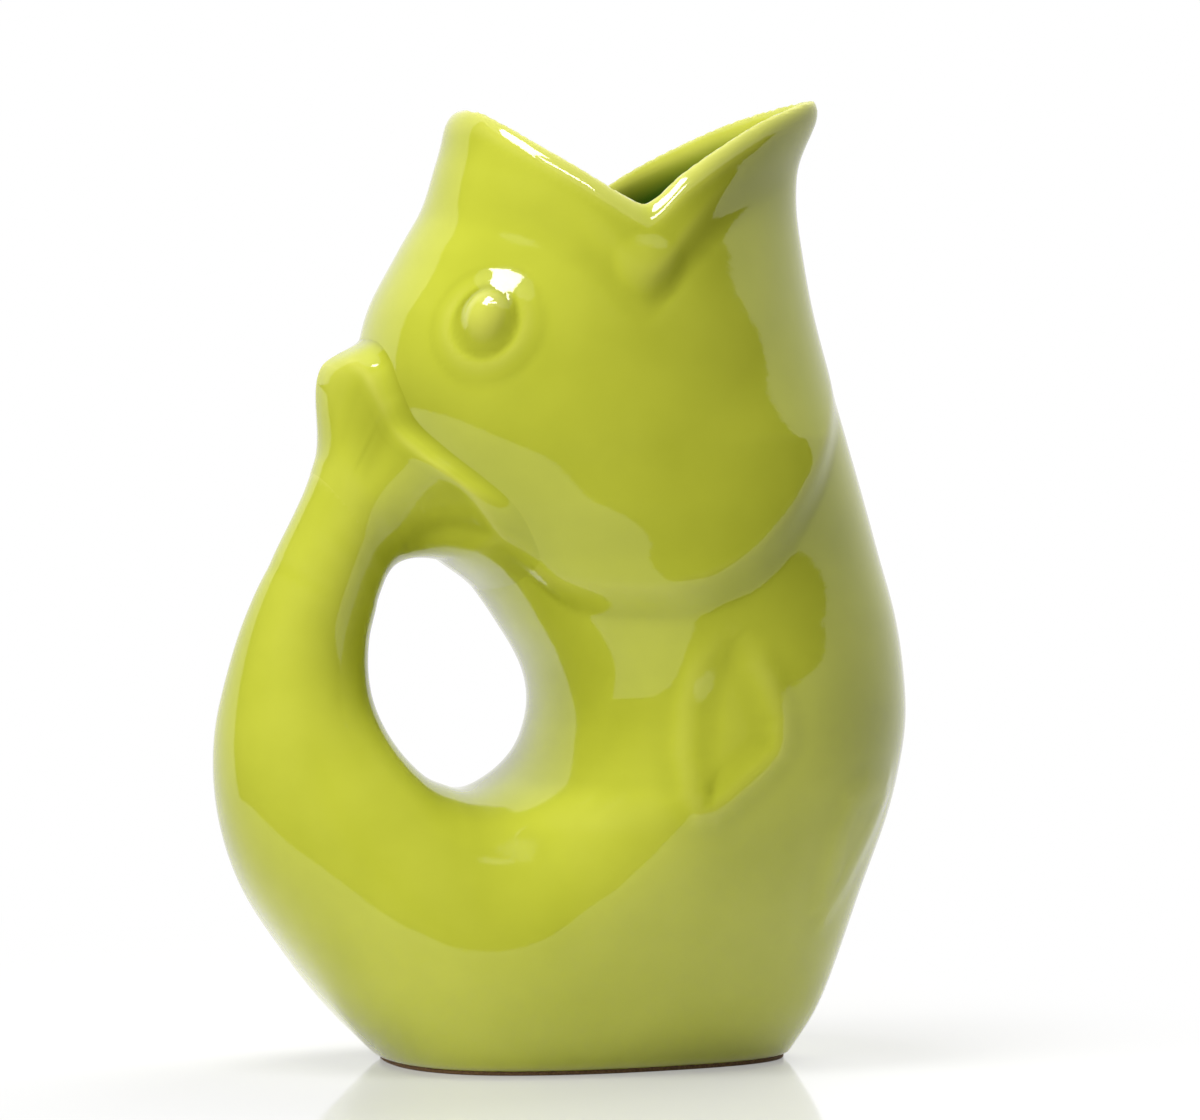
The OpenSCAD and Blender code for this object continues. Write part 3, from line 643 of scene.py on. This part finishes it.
def add(tree, kind, settings=(), **links):
    """Adds a node: settings are its own properties or input values, links are its inputs by name, with _ for a
    space, or by number, as in i6."""
    node = tree.nodes.new(kind)
    for key, value in dict(settings).items():
        if isinstance(key, str) and hasattr(node, key):
            setattr(node, key, value)
        else:
            node.inputs[key].default_value = value
    for key, source in links.items():
        key = key.replace("_", " ")
        tree.links.new(source, node.inputs[int(key[1:]) if key[1:].isdigit() else key])
    return node


def lime_glaze():
    """Earthenware dipped in a transparent lime-green glaze and fired glossy. The glaze runs off the ridges, where
    it is thin and pale yellow, and pools in the creases, where it is deeper and olive. Inside the jug its colour is
    painted dark green, a painted shade for the dim light deep in the mouth. From the melt come a faint cloudiness
    in patches of about 33 mm and a ripple of about 2 mm. Its skin is a smooth glass over the colour."""
    material, tree = new_material("lime_glazed_earthenware")
    place = add(tree, "ShaderNodeTexCoord").outputs["Object"]
    cloud = add(tree, "ShaderNodeTexNoise", {"Scale": 30.0, "Detail": 3.0, "Roughness": 0.5}, Vector=place)
    ripple = add(tree, "ShaderNodeTexNoise", {"Scale": 420.0, "Detail": 2.0, "Roughness": 0.6}, Vector=place)
    bent = add(tree, "ShaderNodeAttribute", {"attribute_name": "bent"}).outputs["Fac"]
    depth = add(tree, "ShaderNodeMapRange", {"From Min": -0.25, "From Max": 0.45}, Value=bent)
    pool = add(tree, "ShaderNodeValToRGB", Fac=depth.outputs[0])
    pool.color_ramp.elements.new(0.4)
    for stop, colour in zip(pool.color_ramp.elements, ("A2A62C", "C1C63E", "D6D664")):
        stop.color = srgb(colour)
    tint = add(tree, "ShaderNodeValToRGB", Fac=cloud.outputs["Fac"])
    for stop, at, colour in zip(tint.color_ramp.elements, (0.3, 0.7), ("EFF0E2", "FFFFFF")):
        stop.position, stop.color = at, srgb(colour)
    outside = add(tree, "ShaderNodeMix", {"data_type": "RGBA", "blend_type": "MULTIPLY", 0: 1.0},
                  i6=pool.outputs["Color"], i7=tint.outputs["Color"])
    # The inside of the jug is painted dark green: painted shade for the dim light deep in its mouth
    inner = add(tree, "ShaderNodeAttribute", {"attribute_name": "inner"}).outputs["Fac"]
    colour = add(tree, "ShaderNodeMix", {"data_type": "RGBA", 7: srgb("2F5A10")}, i0=inner, i6=outside.outputs[2])
    bump = add(tree, "ShaderNodeBump", {"Strength": 0.05, "Distance": 0.0004}, Height=ripple.outputs["Fac"])
    shader = add(tree, "ShaderNodeBsdfPrincipled", {"Roughness": 0.06, "IOR": 1.5},
                 Base_Color=colour.outputs[2], Normal=bump.outputs["Normal"])
    add(tree, "ShaderNodeOutputMaterial", Surface=shader.outputs[0])
    return material


def bare_clay():
    """The foot is wiped bare before firing: brown fired clay, matt, with a sandy grain of half a millimetre."""
    material, tree = new_material("bare_fired_clay")
    place = add(tree, "ShaderNodeTexCoord").outputs["Object"]
    grain = add(tree, "ShaderNodeTexNoise", {"Scale": 1800.0, "Detail": 3.0, "Roughness": 0.7}, Vector=place)
    tone = add(tree, "ShaderNodeValToRGB", Fac=grain.outputs["Fac"])
    for stop, at, colour in zip(tone.color_ramp.elements, (0.3, 0.7), ("5E4630", "8A6A4A")):
        stop.position, stop.color = at, srgb(colour)
    bump = add(tree, "ShaderNodeBump", {"Strength": 0.4, "Distance": 0.0003}, Height=grain.outputs["Fac"])
    shader = add(tree, "ShaderNodeBsdfPrincipled", {"Roughness": 0.85, "IOR": 1.5},
                 Base_Color=tone.outputs["Color"], Normal=bump.outputs["Normal"])
    add(tree, "ShaderNodeOutputMaterial", Surface=shader.outputs[0])
    return material


def seen_rays(tree):
    """1 for rays from the camera and for mirrored or refracted ones, 0 for light that bounces."""
    path = add(tree, "ShaderNodeLightPath")
    seen = path.outputs["Is Camera Ray"]
    for kind in ("Is Glossy Ray", "Is Transmission Ray"):
        seen = add(tree, "ShaderNodeMath", {"operation": "MAXIMUM"}, i0=seen, i1=path.outputs[kind]).outputs[0]
    return seen


def white_table():
    """A white lacquered table: nearly white, with a faint mirror of the jug's foot that grows where it is seen at a
    low angle. Where it is seen it also glows with painted white light: a little near the jug, which pales the jug's
    shadow and mirror there, and fully far from the jug, so that it has no edge against the background. For
    bounced light its colour is painted darker away from the jug, so that less light falls back on the jug's upper
    parts."""
    material, tree = new_material("white_lacquered_table")
    place = add(tree, "ShaderNodeTexCoord").outputs["Object"]
    squeezed = add(tree, "ShaderNodeVectorMath", {"operation": "MULTIPLY", 1: (1.0, 0.45, 0.0)}, i0=place)
    away = add(tree, "ShaderNodeVectorMath", {"operation": "LENGTH"}, i0=squeezed.outputs[0])
    fade = add(tree, "ShaderNodeMapRange", {"interpolation_type": "SMOOTHSTEP", "From Min": 0.08, "From Max": 0.22,
                                            "To Min": 0.3}, Value=away.outputs["Value"])
    seen = seen_rays(tree)
    # painted darker away from the jug for bounced light, so that less light falls back on the jug's upper parts
    bounce = add(tree, "ShaderNodeMix", {"data_type": "RGBA", 6: srgb("ECECEA"), 7: srgb("747472")},
                 i0=fade.outputs[0])
    paint = add(tree, "ShaderNodeMix", {"data_type": "RGBA", 7: srgb("FCFCFA")}, i0=seen, i6=bounce.outputs[2])
    matt = add(tree, "ShaderNodeBsdfDiffuse", Color=paint.outputs[2])
    gloss = add(tree, "ShaderNodeBsdfGlossy", {"Roughness": 0.05})
    mirror = add(tree, "ShaderNodeFresnel", {"IOR": 1.35})
    some = add(tree, "ShaderNodeMath", {"operation": "MULTIPLY", 1: 1.1}, i0=mirror.outputs[0])
    table = add(tree, "ShaderNodeMixShader", i0=some.outputs[0], i1=matt.outputs[0], i2=gloss.outputs[0])
    # painted white glow where the table is seen: 0.3 near the jug, which pales its shadow, up to 1 far away
    white = add(tree, "ShaderNodeEmission", {"Color": (1, 1, 1, 1), "Strength": 1.0})
    share = add(tree, "ShaderNodeMath", {"operation": "MULTIPLY"}, i0=fade.outputs[0], i1=seen)
    both = add(tree, "ShaderNodeMixShader", i0=share.outputs[0], i1=table.outputs[0], i2=white.outputs[0])
    add(tree, "ShaderNodeOutputMaterial", Surface=both.outputs[0])
    return material


def black_felt():
    """Matt black felt on the studio's screen, which gives the glaze something dark to mirror."""
    material, tree = new_material("black_felt")
    felt = add(tree, "ShaderNodeBsdfDiffuse", {"Color": srgb("161616")})
    add(tree, "ShaderNodeOutputMaterial", Surface=felt.outputs[0])
    return material


glaze, clay = lime_glaze(), bare_clay()
for name, piece in pieces.items():
    foot = name == "foot_ring"
    piece.data.materials.append(clay if foot else glaze)
    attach(piece, "root")
    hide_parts(name)


# Studio

TABLE_HALF = 6.0
corners = TABLE_HALF * np.array([[-1, -1, 0], [1, -1, 0], [1, 1, 0], [-1, 1, 0]]) / MM
floor = make_mesh("floor", corners, np.array([[0, 1, 2, 3]]))
floor.data.materials.append(white_table())


def soft_box(name, place, aim, width, height, strength):
    """A rectangular studio light at a place, turned to a point. Strength is its brightness, where 1 is white."""
    lamp = bpy.data.lights.new(name, "AREA")
    lamp.shape = "RECTANGLE"
    lamp.size, lamp.size_y = width, height
    lamp.energy = strength * width * height * math.pi
    box = bpy.data.objects.new(name, lamp)
    box.location = place
    box.rotation_euler = (Vector(aim) - Vector(place)).to_track_quat("-Z", "Y").to_euler()
    bpy.context.scene.collection.objects.link(box)
    return box


# The top light lights and is mirrored. Two more are only mirrored: they draw the gleams on the eyes and the lips.
# The key from the front left and the lamp behind that lightens the table are not mirrored.
soft_box("top_light", (-0.34, -0.2, 1.38), (0, 0, 0.17), 0.5, 0.8, 9.5)
for gleam in (soft_box("eye_light", (-0.34, -0.2, 1.37), (0, 0, 0.17), 0.5, 0.8, 11.0),
              soft_box("lip_light", (0.0, -0.52, 1.35), (0, 0, 0.2), 0.6, 0.12, 19.0)):
    gleam.visible_diffuse = False
for plain in (soft_box("key_light", (-1.08, -0.74, 0.77), (0, 0, 0.12), 1.1, 1.1, 4.2),
              soft_box("table_light", (0.75, 0.75, 1.0), (0.1, -0.1, 0), 1.0, 1.0, 6.0)):
    plain.visible_glossy = False

SCREEN_R = 0.6
WING_Z = 0.172


def dark_card():
    """A matt black screen that curves round the camera's side, seen only in reflections, as a photographer sets it
    up to keep the glaze deep in colour. Its grid runs by azimuth and height, at one distance from the jug; it
    narrows to a point at its right end. A flat wing at the height of the gills goes in from it towards the jug and
    hides the top light's reflection on the tail with a dark patch in its mirror; it throws no shadow, so the top
    light still lights the tail."""
    az = np.linspace(-118, 87, 80)
    low = curve([-118, 16, 32, 50, 62, 74, 82, 87], [0, 0, 0.13, 0.2, 0.24, 0.275, 0.305, 0.335])(az)
    high = curve([-118, -95, -80, 15, 30, 45, 63, 76, 82, 87],
                 [1, 0.95, 0.9, 0.9, 0.84, 0.7, 0.565, 0.475, 0.41, 0.345])(az)
    wing = np.clip(low, WING_Z, None)
    reach = curve([-118, -90, -70, 15, 40, 60], [0.1, 0.08, 0.06, 0.06, 0.5, 0.6])(az)
    z = np.stack([low, high, wing, wing], 1)
    edge = np.full(len(az), SCREEN_R)
    r = np.stack([edge, edge, edge, reach], 1)
    turn = np.radians(az)[:, None]
    points = np.stack([r * np.sin(turn), -r * np.cos(turn), z], -1).reshape(-1, 3) / MM
    a = np.arange(len(az) - 1)[:, None] * 4
    screen = np.concatenate([a, a + 1, a + 5, a + 4], 1)
    return make_mesh("dark_card", points, np.concatenate([screen, screen + 2]))


card = dark_card()
card.data.materials.append(black_felt())
card.visible_camera = card.visible_diffuse = card.visible_shadow = card.visible_transmission = False

# The white surroundings: 1 where they are seen or mirrored, and a little light from all round
world = bpy.data.worlds.new("studio")
bpy.context.scene.world = world
world.use_nodes = True
tree = world.node_tree
tree.nodes.clear()
level = add(tree, "ShaderNodeMapRange", {"To Min": 0.13, "To Max": 1.0}, Value=seen_rays(tree))
sky = add(tree, "ShaderNodeBackground", {"Color": (1, 1, 1, 1)}, Strength=level.outputs[0])
add(tree, "ShaderNodeOutputWorld", Surface=sky.outputs[0])

# The camera stands 14 degrees round towards the tail from the fish's right side, a little above the gills
lens = bpy.data.cameras.new("camera")
lens.sensor_width = 36.0
lens.lens = 217.6
lens.shift_x, lens.shift_y = 0.0342, 0.0142
lens.clip_start, lens.clip_end = 0.05, 50.0
camera = bpy.data.objects.new("camera", lens)
camera.location = (-0.4355, -1.7465, 0.175)
camera.rotation_euler = (Vector((0, 0, 0.12)) - camera.location).to_track_quat("-Z", "Y").to_euler()
bpy.context.scene.collection.objects.link(camera)
bpy.context.scene.camera = camera
bpy.context.scene.view_settings.view_transform = "Standard"
